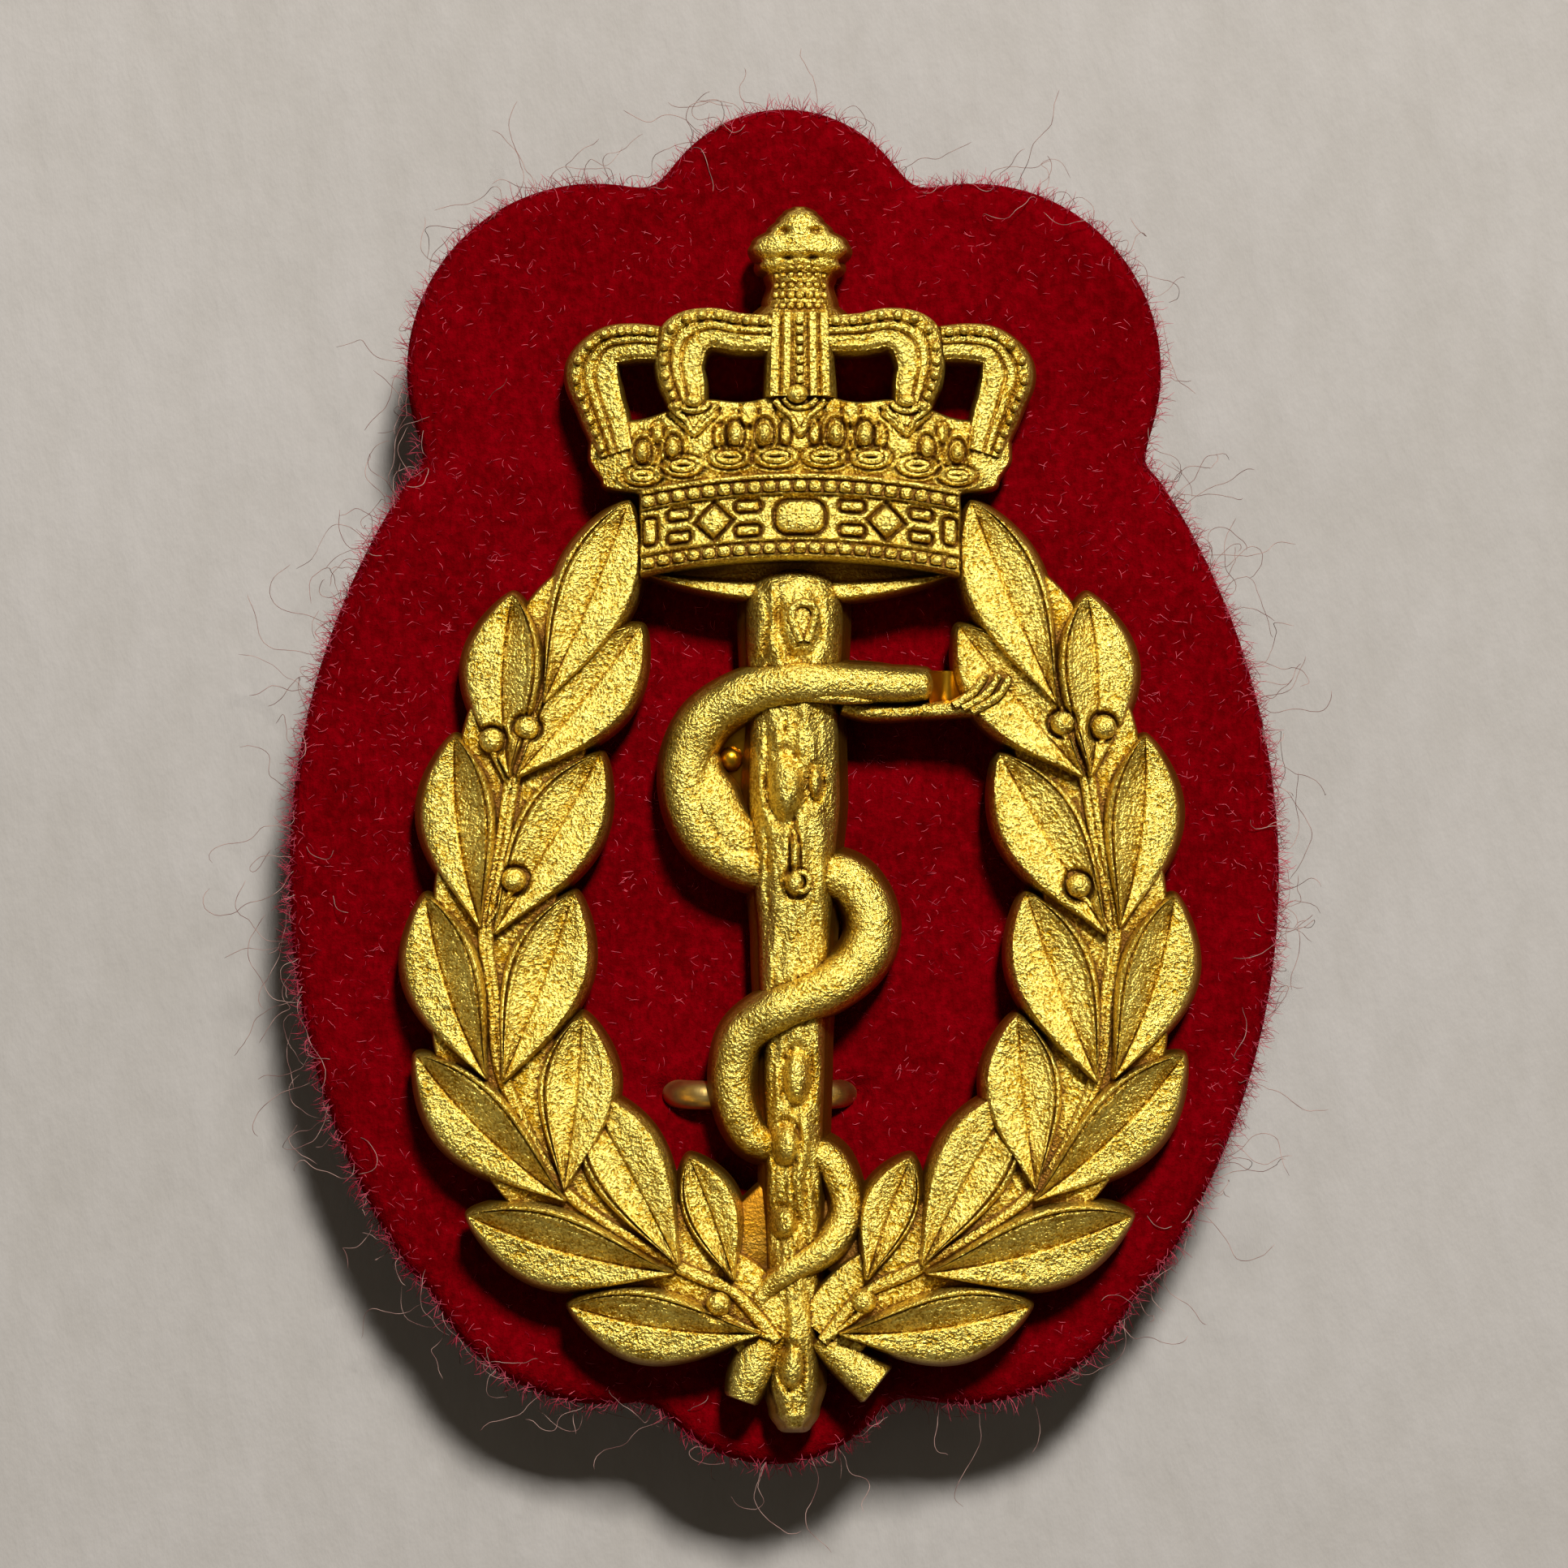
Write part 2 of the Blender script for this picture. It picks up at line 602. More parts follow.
# The staff: its ends, its half width along it, its middle line, how far its axis is over the
# emblem's back, and how high its round stands for its width.
STAFF_TOP, STAFF_TIP = 8.5, -20.95
STAFF_HALF = [
    (-21.0, 0.32), (-20.5, 0.6), (-19.5, 0.84), (-17.7, 0.84), (-13.8, 0.95), (-11.2, 0.98),
    (-8.3, 1.05), (-4.5, 1.22), (-1.4, 1.42), (0.7, 1.58), (3.4, 1.52), (7.0, 1.68), (8.5, 1.62)]
STAFF_X = -0.2
POLE_Z, POLE_FLAT = 0.55, 0.95
# Knots of the bark: middle, half width, half length, height.
KNOTS = [
    (-0.3, 1.1, 0.5, 0.95, 0.34), (0.76, 1.25, 0.2, 0.5, 0.22), (0.02, -1.3, 0.14, 0.7, 0.14),
    (0.05, -2.2, 0.32, 0.38, 0.2), (0.2, 6.75, 0.6, 0.95, 0.03), (-1.3, 6.9, 0.3, 1.1, 0.14),
    (0.1, -8.9, 0.4, 0.8, 0.22), (-0.3, -11.2, 0.42, 0.6, 0.24), (-0.4, -13.9, 0.4, 0.45, 0.25),
    (-0.1, -18.9, 0.35, 0.6, 0.2)]


def bark(x, y):
    """Height of the bark over a smooth pole: wandering furrows, and knots with a moat round them."""
    wander = 0.4 * noise.noise(Vector((0, y * 0.35, 4)))
    furrow = abs(noise.noise(Vector(((x + wander) * 1.7, y * 0.25, 1))))
    fine = abs(noise.noise(Vector(((x - wander) * 3.4, y * 0.6, 7))))
    z = 0.26 * min(furrow * 2.2, 1) + 0.07 * min(fine * 3, 1) - 0.2
    for kx, ky, wide, tall, high in KNOTS:
        d = hypot((x - kx) / wide, (y - ky) / tall)
        inside = exp(-d ** 4)
        z += (1.25 * high - z) * inside - 0.18 * hump((d - 1.3) / 0.25)
    return z


def staff(gilt):
    """The knotted pole, with an open eye of bark at its top and a small ring lower down."""
    bm = bmesh.new()

    def place(u, v):
        y = STAFF_TOP + (STAFF_TIP - STAFF_TOP) * v
        half = ease(STAFF_HALF, y) * (0.35 + 0.65 * sqrt(1 - (1 - min(1, v * 32)) ** 2))
        angle = pi * (u - 0.5) * 0.98
        x = half * sin(angle)
        z = POLE_Z + POLE_FLAT * half * cos(angle)
        return (STAFF_X + x, y, z + bark(x, y) * cos(angle) * min(1, 20 * v))

    relief(bm, 60, 440, place, 0.3)
    ring_z = POLE_Z + POLE_FLAT * 1.7
    eye = [(0.02, 6.1), (-0.12, 6.45), *arc_points(0.12, 7.0, 0.42, 0.42, 200, -20, 11),
           (0.4, 6.5), (0.25, 6.1)]
    ridge(bm, eye, 0.15, ring_z - 0.02, flat=1.2, across=8, along=100, flare=0.05)
    ring = arc_points(0.05, -2.15, 0.27, 0.33, 90, -270, 12)
    ridge(bm, ring, 0.1, ring_z - 0.22, across=8, along=72, flare=0.03)
    new_piece("staff_bark", bm, gilt, ["staff", "staff_knots"])


# The serpent's middle line from snout to tail: place, and height of its middle over the back.
SERPENT_RUN = [
    (4.45, 4.62, 1.45), (3.2, 4.6, 1.6), (1.5, 4.66, 1.75), (-0.2, 4.65, 1.8), (-1.8, 4.3, 1.5),
    (-3.2, 3.4, 1.1), (-3.85, 2.1, 0.9), (-3.85, 0.7, 0.85), (-3.3, -0.6, 0.8), (-2.2, -1.4, 0.7),
    (-0.3, -1.9, 0.5), (1.4, -2.0, 0.7), (2.2, -2.7, 0.85), (2.5, -3.8, 1.0), (2.1, -4.9, 1.2),
    (1.0, -5.8, 1.5), (-0.6, -6.5, 1.5), (-1.9, -7.4, 1.1), (-2.3, -8.6, 0.9), (-2.2, -9.9, 0.8),
    (-1.6, -11.0, 0.6), (-0.3, -11.4, 0.4), (0.9, -11.7, 0.6), (1.45, -12.6, 0.8), (1.6, -13.7, 1.0),
    (0.9, -14.8, 1.25), (-0.4, -15.6, 1.25), (-1.3, -16.4, 1.0), (-1.6, -17.3, 0.8), (-1.3, -18.0, 0.6)]
SERPENT_RADIUS = [
    (0, 0.42), (0.03, 0.5), (0.06, 0.54), (0.1, 0.7), (0.2, 0.8), (0.45, 0.78), (0.7, 0.62),
    (0.85, 0.5), (0.93, 0.32), (1, 0.12)]
# The low ledge beside the head, the fold along the neck, and the ground along the first coil's
# inner side with its half width.
HEAD_LEDGE = [(0.9, 4.9), (2.3, 4.9), (3.4, 4.78), (4.4, 4.55)]
NECK_FOLD = [(-2.2, 3.95), (-0.7, 4.2), (0.6, 4.22), (1.7, 4.12), (2.5, 4.05)]
COIL_INSIDE = [(-3.4, 3.1), (-3.5, 2.1), (-3.35, 1.1), (-2.9, 0.1), (-2.1, -0.9), (-1.2, -1.5)]
COIL_INSIDE_HALF = [(0, 0.2), (0.25, 0.75), (0.5, 1.05), (0.75, 0.95), (1, 0.4)]
JAW_RUN = [(1.5, 3.9), (2.3, 3.7), (3.2, 3.66), (4.0, 3.7), (4.5, 3.74)]
TONGUE_RUN = [(4.2, 3.72), (5.0, 3.76), (5.6, 3.8), (6.1, 3.8)]
TONGUE_FORKS = [[(5.3, 3.9), (5.95, 4.35), (6.4, 4.95)], [(5.6, 3.8), (6.35, 4.25), (6.85, 4.95)],
                [(5.9, 3.7), (6.75, 4.2), (7.2, 4.85)]]


def serpent(gilt):
    """The coiled body, the lower jaw and the forked tongue."""
    def half_width(v):
        blunt_snout = sqrt(1 - (1 - min(1, (v + 0.0006) * 140)) ** 2)
        return ease(SERPENT_RADIUS, v) * blunt_snout

    bm = bmesh.new()
    flat_run = [(x, y) for x, y, _ in SERPENT_RUN]
    heights = [(i / (len(SERPENT_RUN) - 1), z) for i, (_, _, z) in enumerate(SERPENT_RUN)]
    ridge(bm, flat_run, half_width, heights, flat=0.9, across=30, along=560, flare=0.24)
    ridge(bm, HEAD_LEDGE, (0.52, 0.37), 0.45, flat=0.7, across=12, along=40, flare=0.1)
    ridge(bm, NECK_FOLD, lambda v: 0.05 + 0.17 * sin(pi * v),
          lambda v: 1.95 - 0.5 * abs(v - 0.5), across=10, flare=0.04)
    ridge(bm, COIL_INSIDE, COIL_INSIDE_HALF, 0.75, flat=0.72, across=20, along=90)
    new_piece("serpent_body", bm, gilt, ["serpent"])
    jaw = bmesh.new()
    ridge(jaw, JAW_RUN, (0.26, 0.18), 1.15, across=12, along=50, flare=0.14)
    new_piece("serpent_lower_jaw", jaw, gilt, ["serpent_jaw"])
    tongue = bmesh.new()
    ridge(tongue, TONGUE_RUN, 0.24, (1.1, 1.5), across=10, along=24, flare=0.12)
    for fork in TONGUE_FORKS:
        ridge(tongue, fork, (0.17, 0.11), (1.6, 1.72), across=10, along=30, flare=0.04)
    new_piece("serpent_forked_tongue", tongue, gilt, ["serpent_tongue"])


# The ball on the ground inside the first coil.
BALL_X, BALL_Y, BALL_R = -2.4, 2.05, 0.42


def webs(polish):
    """The smooth scraps of ground inside the serpent's first coil and behind its jaw."""
    def coil_ground(x, y):
        from_ball = hypot(x - BALL_X, y - BALL_Y) / BALL_R
        return 0.25 + 0.1 * (y - 2.0) + 0.4 * sqrt(max(0, 1 - from_ball ** 2))

    def mouth_ground(x, y):
        return 0.5 + 0.45 * ((x - 5.1) / 0.55) ** 2

    for name, node, low, high, ground in (
            ("coil_web", "loop_web", (-3.2, 0.9), (-1.5, 3.6), coil_ground),
            ("mouth_web", "jaw_web", (4.45, 3.8), (5.75, 5.1), mouth_ground)):
        bm = bmesh.new()

        def place(u, v):
            x, y = low[0] + (high[0] - low[0]) * u, low[1] + (high[1] - low[1]) * v
            return (x, y, ground(x, y))

        relief(bm, 50, 80, place, 0.02)
        new_piece(name, bm, polish, [node], slot="polished_gilt")


# -------------------- the crown

# Height of the crown's front in its middle, the radius by which it curves back to the sides, and
# the radius of its bowed rims.
CROWN_TOP, CROWN_CURVE, RIM_CURVE = 2.35, 23.0, 27.0


def crown_z(x):
    """Height of the crown's front over the emblem's back."""
    return CROWN_TOP - CROWN_CURVE + sqrt(CROWN_CURVE ** 2 - x * x)


def crown_patch(bm, across, along, outline, height):
    """A patch on the crown's curved front: outline(u, v) gives its place, height(u, v) its relief."""
    def place(u, v):
        x, y = outline(u, v)
        return (x, y, crown_z(x) + height(u, v))
    relief(bm, across, along, place, 0.15)


def bow(x, top):
    """A rim that is highest in the middle of the crown, at top."""
    return top - RIM_CURVE + sqrt(RIM_CURVE ** 2 - x * x)


def crown_oval(bm, x, y, rx, ry, high, segments=16):
    """A pearl or bead on the crown's front."""
    oval(bm, (x, y, crown_z(x) + high), (rx, ry, min(rx, ry)), segments)


def crown_ring(bm, x, y, rx, ry, wire, high, start=0, stop=360):
    """A ridge round an oval, or part of one, on the crown's front."""
    steps = (stop - start) // 15
    points = arc_points(x, y, rx, ry, start, stop, steps)
    ridge(bm, points, wire, crown_z(x) + high, across=8, along=steps * 3, flare=0.03)


def oval_gap(x, y, shape):
    """How far a point is outside an oval (cx, cy, rx, ry), in mm and roughly. Inside it is negative."""
    cx, cy, rx, ry = shape
    return (hypot((x - cx) / rx, (y - cy) / ry) - 1) * sqrt(rx * ry)


def block_gap(x, y, shape):
    """The same for a stone (cx, cy, width, height, 1 where it stands on its corner)."""
    cx, cy, w, h, lozenge = shape
    dx, dy = abs(x - cx), abs(y - cy)
    if lozenge:
        return (dx + dy) / sqrt(2) - w / 2
    corner = 0.38 * min(w, h)
    return hypot(max(dx - w / 2 + corner, 0), max(dy - h / 2 + corner, 0)) - corner


# Stones of the right half of the circlet: place, width, height, 1 where it stands on its corner.
STONES = [
    (0.0, 10.36, 1.62, 1.06, 0), (1.78, 10.78, 0.74, 0.26, 0), (1.78, 9.95, 0.74, 0.26, 0),
    (2.95, 10.36, 0.78, 0.78, 1), (4.15, 10.76, 0.66, 0.24, 0), (4.15, 9.98, 0.66, 0.24, 0),
    (5.15, 10.36, 0.36, 0.8, 0)]


CIRCLET_HALF, CIRCLET_LOW, CIRCLET_HIGH = 5.45, 8.95, 11.85
CIRCLET_SECTION = [
    (0, -0.05), (0.03, 0.1), (0.06, -0.08), (0.2, -0.08), (0.23, 0.08), (0.27, -0.02), (0.7, -0.02),
    (0.745, -0.12), (0.765, 0.06), (0.79, -0.1), (0.93, -0.1), (0.95, 0.07), (0.985, 0.07),
    (1, -0.1)]
# The two rows of square beads, each with its place and the height of a bead.
BEAD_ROWS, BEAD_ROW_WIDE, BEADS = ((11.42, 0.4), (9.3, 0.36)), 10.4, 21


def circlet(gilt):
    """The circlet, grooved round each stone, with its bead rows and its stones."""
    def outline(u, v):
        x = CIRCLET_HALF * (2 * u - 1)
        return (x, bow(x, CIRCLET_HIGH) * v + bow(x, CIRCLET_LOW) * (1 - v))

    def height(u, v):
        x = CIRCLET_HALF * abs(2 * u - 1)
        y = CIRCLET_LOW + (CIRCLET_HIGH - CIRCLET_LOW) * v
        grooves = sum(hump((block_gap(x, y, stone) - 0.07) / 0.075) for stone in STONES)
        return ease(CIRCLET_SECTION, v) - 0.26 * min(1, grooves)

    bm = bmesh.new()
    crown_patch(bm, 240, 72, outline, height)
    new_piece("circlet_band", bm, gilt, ["crown_circlet"])

    beads = bmesh.new()
    for top, size in BEAD_ROWS:
        for i in range(BEADS):
            x = BEAD_ROW_WIDE * (i / (BEADS - 1) - 0.5)
            block(beads, (x, bow(x, top), crown_z(x) - 0.02), (0.46, size, 0.34), 0.16)
    new_piece("circlet_bead_rows", beads, gilt, ["circlet_beads"])

    jewels = bmesh.new()
    for x, y, w, h, lozenge in STONES:
        big = min(w, h) > 0.5
        z = crown_z(x) - (0.14 if big else 0.22)
        if x == 0:
            cushion(jewels, (x, bow(x, y), z), (w / 2, h / 2, 0.26))
            continue
        for s in (-1, 1):
            block(jewels, (s * x, bow(x, y), z), (w, h, 0.44), 0.16 if big else 0.08,
                  turn=lozenge * pi / 4)
    new_piece("circlet_stones", jewels, gilt, ["circlet_jewels"])


def lining(gilt):
    """The hollow underside of the crown with its bright lower lip."""
    half = 5.3
    section = [(0, 0.95), (0.08, 1.35), (0.3, 1.3), (0.46, 0.85), (0.7, 0.8), (1, 1.0)]

    def place(u, v):
        x = half * (2 * u - 1)
        low = 7.45 + 0.95 * (abs(x) / half) ** 2.2
        high = bow(x, 9.2)
        return (x, low + (high - low) * v, ease(section, v) - 0.25 * (x / half) ** 2)

    bm = bmesh.new()
    relief(bm, 80, 30, place, 0.12)
    new_piece("crown_bowl", bm, gilt, ["crown_lining"])


# Ornament of the right half of the flaring band, as ovals (x, y, half width, half height).
DROPS = [
    (1.22, 13.22, 0.3, 0.46), (2.22, 13.17, 0.3, 0.46), (4.35, 12.74, 0.26, 0.4),
    (5.4, 12.62, 0.26, 0.38)]
SCROLLS = [
    (0.83, 12.42, 0.62, 0.31), (2.42, 12.4, 0.58, 0.31), (4.02, 12.12, 0.55, 0.3),
    (5.4, 11.8, 0.5, 0.27)]
TONGUES = [
    (1.75, 13.95, 0.24, 0.36), (2.75, 13.1, 0.16, 0.3), (0.5, 13.25, 0.14, 0.3),
    (4.9, 13.25, 0.14, 0.24)]
LEAF_ORNAMENTS = [(0.0, 13.9, 0.8, 0.55), (3.65, 13.85, 0.85, 0.5)]
# The fine lines struck along their outlines: height, distance outside the outline, width.
DROP_LINES = [(0.06, 0.17, 0.06), (-0.16, 0.05, 0.06), (-0.08, 0.3, 0.06)]
SCROLL_LINES = [(0.08, 0, 0.09), (-0.12, 0.16, 0.05), (-0.09, -0.16, 0.05)]
# The raised leaf ornaments: middle and size. Each is a cup between two curls.
CUPS = [(0.0, 14.3, 1.0), (3.65, 14.18, 0.95), (-3.65, 14.18, 0.95)]
CURL = [(0.85, 0.05), (0.6, -0.25), (0.3, -0.5), (0.1, -0.9)]


def struck_lines(gap, lines):
    """Height of a set of lines at a place that is gap outside their outline."""
    return sum(high * hump((gap - at) / wide) for high, at, wide in lines)


def band_relief(x, y):
    """Height of the struck ornament on the right half of the flaring band."""
    z = sum(struck_lines(oval_gap(x, y, shape), DROP_LINES) for shape in DROPS)
    for shape in SCROLLS:
        gap = oval_gap(x, y, shape)
        z += struck_lines(gap, SCROLL_LINES)
        z += 0.08 * hump((gap - 0.28) / 0.06) * (y < shape[1])
        z -= 0.12 * hump((y - shape[1]) / 0.07) * hump((x - shape[0]) / 0.24)
    for shape in TONGUES:
        gap = oval_gap(x, y, shape)
        z += (0.12 if gap < 0 else 0.12 * hump(gap / 0.05)) - 0.14 * hump((gap - 0.12) / 0.07)
    for cx, cy, wide, tall in LEAF_ORNAMENTS:
        dx, dy = abs(x - cx), cy - y
        point = 1 - dx / wide - max(0, dy) / (tall * 1.6)
        if -0.3 < dy < tall * 1.6:
            z += 0.1 * (point > 0) - 0.12 * hump(point / 0.12) - 0.07 * hump((point - 0.42) / 0.1)
    return z


def band(gilt):
    """The flaring band over the circlet, with its leaf ornaments, pearls and scrolls."""
    half = [(0, 5.5), (0.25, 6.75), (0.6, 7.2), (1, 7.15)]

    def outline(u, v):
        t = 2 * u - 1
        x = ease(half, v) * t
        top = 14.7 - 1.1 * abs(t) ** 1.6 - 0.3 * sin(abs(t) * pi * 2.0) ** 2
        return (x, bow(x, 11.75) * (1 - v) + top * v)

    def height(u, v):
        x, y = outline(u, v)
        return -0.22 + 0.08 * sin(pi * v) - 0.18 * v ** 6 + band_relief(abs(x), y)

    bm = bmesh.new()
    crown_patch(bm, 300, 66, outline, height)
    new_piece("flared_band", bm, gilt, ["crown_band"])

    pearls, scrolls = bmesh.new(), bmesh.new()
    for s in (-1, 1):
        for x, y, rx, ry in DROPS:
            crown_oval(pearls, s * x, y, rx * 0.78, ry * 0.8, -0.06)
        for x, y, rx, ry in SCROLLS:
            crown_ring(scrolls, s * x, y, rx * 0.62, ry * 0.42, 0.1, -0.13)
    new_piece("band_pearl_drops", pearls, gilt, ["band_pearls"])
    new_piece("band_c_scrolls", scrolls, gilt, ["band_scrolls"])

    leaves = bmesh.new()
    for x, y, size in CUPS:
        crown_ring(leaves, x, y + 0.22, 0.56 * size, 0.42 * size, 0.1, -0.05, start=195, stop=345)
        for s in (-1, 1):
            curl = [(x + s * cx * size, y + cy * size) for cx, cy in CURL]
            ridge(leaves, curl, (0.11, 0.07), crown_z(x) - 0.1, across=8, along=30, flare=0.03)
    new_piece("band_leaf_ornaments", leaves, gilt, ["crown_fleurons"])


# Half arches of the right side: middle line, width along it, and number of pearls.
ARCHES = {
    "inner": ([(0.9, 16.65), (2.1, 16.7), (3.15, 16.85), (3.95, 16.45), (4.15, 15.6), (3.98, 14.8),
               (3.8, 14.05)], [(0, 1.2), (0.3, 1.3), (0.5, 1.75), (0.75, 1.5), (1, 1.1)], 13),
    "outer": ([(4.9, 16.35), (5.8, 16.4), (6.7, 16.2), (7.15, 15.4), (6.95, 14.5), (6.65, 13.6),
               (6.35, 12.6)], [(0, 1.1), (0.3, 1.25), (0.5, 1.75), (0.75, 1.5), (1, 1.2)], 12)}
ARCH_SECTION = [
    (0, -0.12), (0.1, 0.05), (0.24, 0.05), (0.3, -0.06), (0.38, 0.06), (0.48, 0.05), (0.54, -0.1),
    (0.6, 0.02), (0.85, 0.0), (1, -0.12)]
RIB_SECTION = [
    (0, -0.2), (0.06, 0.05), (0.16, 0.05), (0.2, -0.08), (0.26, 0.1), (0.34, 0.1), (0.38, -0.1),
    (0.44, 0.0), (0.5, 0.02), (0.56, 0.0), (0.62, -0.1), (0.66, 0.1), (0.74, 0.1), (0.8, -0.08),
    (0.84, 0.05), (0.94, 0.05), (1, -0.2)]


def arch(side, name, gilt):
    """One half arch. Returns its row of pearls, still to be joined with the others."""
    run, widths, pearl_count = ARCHES[name]

    def spot(v, across):
        """A place on the arch, across it by a share of its width."""
        ahead = spline(run, min(v + 0.01, 1)) - spline(run, max(v - 0.01, 0))
        out = Vector((-ahead.y, ahead.x)).normalized()
        return spline(run, v) + out * ease(widths, v) * across

    bm = bmesh.new()
    crown_patch(bm, 40, 90, lambda u, v: spot(v, 0.5 - u), lambda u, v: ease(ARCH_SECTION, u) - 0.02)
    new_piece(f"{side}_{name}_arch_band", bm, gilt, [f"{side}_{name}_arch"], mirrored=side == "left")
    pearls = bmesh.new()
    for i in range(pearl_count):
        x, y = spot(0.06 + 0.88 * i / (pearl_count - 1), 0.34)
        oval(pearls, (x, y, crown_z(x) + 0.07), (0.17, 0.17, 0.17), segments=12)
    if side == "left":
        mirror(pearls)
    return pearls


def arches(gilt):
    """The four half arches, the ribbed middle one, and all their pearls as one piece."""
    rows = bmesh.new()
    for side in SIDES:
        for name in ARCHES:
            pearls = arch(side, name, gilt)
            mesh = bpy.data.meshes.new("row")
            pearls.to_mesh(mesh)
            rows.from_mesh(mesh)
            pearls.free()
            bpy.data.meshes.remove(mesh)
    for i in range(7):
        block(rows, (0.0, 15.05 + 0.34 * i, crown_z(0) + 0.06), (0.27, 0.27, 0.26), 0.08)
    crown_oval(rows, -0.1, 14.56, 0.36, 0.32, 0.1, segments=28)
    for s in (-1, 1):
        crown_oval(rows, s * 3.65, 14.34, 0.32, 0.2, 0.02, segments=24)
    new_piece("arch_pearl_rows", rows, gilt, ["arch_pearls"])

    bm = bmesh.new()
    crown_patch(bm, 70, 30, lambda u, v: (1.15 * (2 * u - 1) * (1 - 0.08 * v), 14.5 + 2.85 * v),
                lambda u, v: ease(RIB_SECTION, u) + 0.03)
    new_piece("centre_arch_ribs", bm, gilt, ["centre_arch"])


# The finial's neck and bulb: where each starts, how tall it is, how far its axis is over the
# emblem's back, and its half width along it.
NECK_LOW, NECK_TALL, NECK_Z = 17.25, 1.85, 0.75
NECK_HALF = [(17.25, 1.55), (17.7, 1.15), (18.4, 0.98), (18.8, 1.1), (19.05, 1.4)]
BULB_LOW, BULB_TALL, BULB_Z = 18.82, 2.16, 0.8
BULB_HALF = [
    (18.8, 1.1), (19.0, 1.4), (19.2, 1.32), (19.6, 1.62), (19.85, 1.5), (20.25, 0.98), (20.6, 0.66),
    (20.85, 0.44), (21.0, 0.15)]
BULB_FRONT = [(18.8, 0.95), (19.2, 1.15), (19.5, 1.32), (20.3, 1.32), (20.7, 1.15), (21.0, 0.7)]
# Rings of grains round the neck: place and grain radius. Dents of the bulb: place and half size.
NECK_RINGS = [(17.62, 0.16), (18.0, 0.17), (18.33, 0.13), (18.68, 0.12), (18.93, 0.14)]
DENTS = [(0.55, 20.2, 0.2, 0.13), (0.42, 19.3, 0.2, 0.1)]


def finial(gilt):
    """The ringed neck over the arches and the bulb on it."""
    def neck(u, v):
        y = NECK_LOW + NECK_TALL * v
        angle = pi * (u - 0.5)
        rings = 0.1 * abs(sin(pi * v * 5.0))
        return (ease(NECK_HALF, y) * sin(angle), y, NECK_Z + (1.02 + rings) * cos(angle))

    def bulb(u, v):
        y = BULB_LOW + BULB_TALL * v
        angle = pi * (u - 0.5)
        x = ease(BULB_HALF, y) * sin(angle)
        dents = sum(0.3 * hump(hypot((abs(x) - dx) / wide, (y - dy) / tall))
                    for dx, dy, wide, tall in DENTS)
        return (x, y, BULB_Z + ease(BULB_FRONT, y) * cos(angle) ** 0.4 - dents)

    bm = bmesh.new()
    relief(bm, 40, 90, neck)
    for y, r in NECK_RINGS:
        for k in range(-3, 4):
            angle = 0.3 * k
            oval(bm, (1.02 * sin(angle), y, NECK_Z + 1.08 * cos(angle)),
                 (r, r * 0.85, r), segments=10)
    new_piece("finial_neck_rings", bm, gilt, ["finial_neck"])
    bm = bmesh.new()
    relief(bm, 56, 70, bulb)
    new_piece("finial_bulb", bm, gilt, ["crown_finial"])


# -------------------- the felt

felt_low, felt_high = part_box("felt_backing")
FELT_HALF_W = (felt_high[0] - felt_low[0]) / 2 / MM
FELT_BOTTOM, FELT_TOP = felt_low[2] / MM, felt_high[2] / MM
FELT_THICK = FELT_TOP - FELT_BOTTOM
# The six small lobes as circles, middle and radius, and the two long sides, arcs of SIDE_R about
# points at height SIDE_Y that reach SIDE_HALF up and down from it.
FELT_LOBES = [((0, 18.9), 4.8), ((-0.4, -18.9), 4.8), ((6.6, 14.5), 6.6), ((-6.6, 14.5), 6.6),
              ((6.3, -15.0), 6.6), ((-6.3, -15.0), 6.6)]
SIDE_R, SIDE_Y, SIDE_HALF = 25.0, -3.1, 14.4


def felt_reach(angle):
    """How far the felt's cut edge is from its middle in one direction, in mm."""
    ray = Vector((cos(angle), sin(angle)))
    reach = 0.0
    for centre, r in FELT_LOBES:
        along = ray.dot(Vector(centre))
        off = Vector(centre).length_squared - along * along
        if off < r * r and along > 0:
            reach = max(reach, along + sqrt(r * r - off))
    side = copysign(1, ray.x)
    centre = Vector((side * (FELT_HALF_W - SIDE_R), SIDE_Y))
    along = ray.dot(centre)
    body = along + sqrt(SIDE_R ** 2 - centre.length_squared + along * along)
    if abs(body * ray.y - SIDE_Y) < SIDE_HALF:
        reach = max(reach, body)
    return reach


FELT_SEGMENTS = 480
CUT_EDGE = [felt_reach(2 * pi * k / FELT_SEGMENTS) for k in range(FELT_SEGMENTS)]
# The wool rounds the sharp corners of the cut: each point is a mean of its neighbours.
SOFT_CORNER = [(k, hump(k / 2.4)) for k in range(-6, 7)]
FELT_EDGE = [sum(share * CUT_EDGE[(k + i) % FELT_SEGMENTS] for i, share in SOFT_CORNER)
             / sum(share for _, share in SOFT_CORNER) for k in range(FELT_SEGMENTS)]


def felt_outline(k, inset=0.0):
    """Point k of the cut edge, moved towards the middle by inset."""
    angle = 2 * pi * k / FELT_SEGMENTS
    return Vector((cos(angle), sin(angle))) * (FELT_EDGE[k % FELT_SEGMENTS] - inset)


def felt_area():
    """The area inside the cut edge, in square metres."""
    edge = [felt_outline(k) for k in range(FELT_SEGMENTS)]
    return abs(sum(a.x * b.y - b.x * a.y for a, b in zip(edge, edge[1:] + edge[:1]))) / 2 * MM * MM


# The soft edge: how far inside the cut, and how far through the thickness, from 0.5 half way to 1
# at the face. The rest of each face is rings that shrink to the middle.
ROUND_EDGE = [(0.03, 0.62), (0.12, 0.78), (0.3, 0.91), (0.55, 0.98), (0.9, 1.0)]
FACE_RINGS = 80


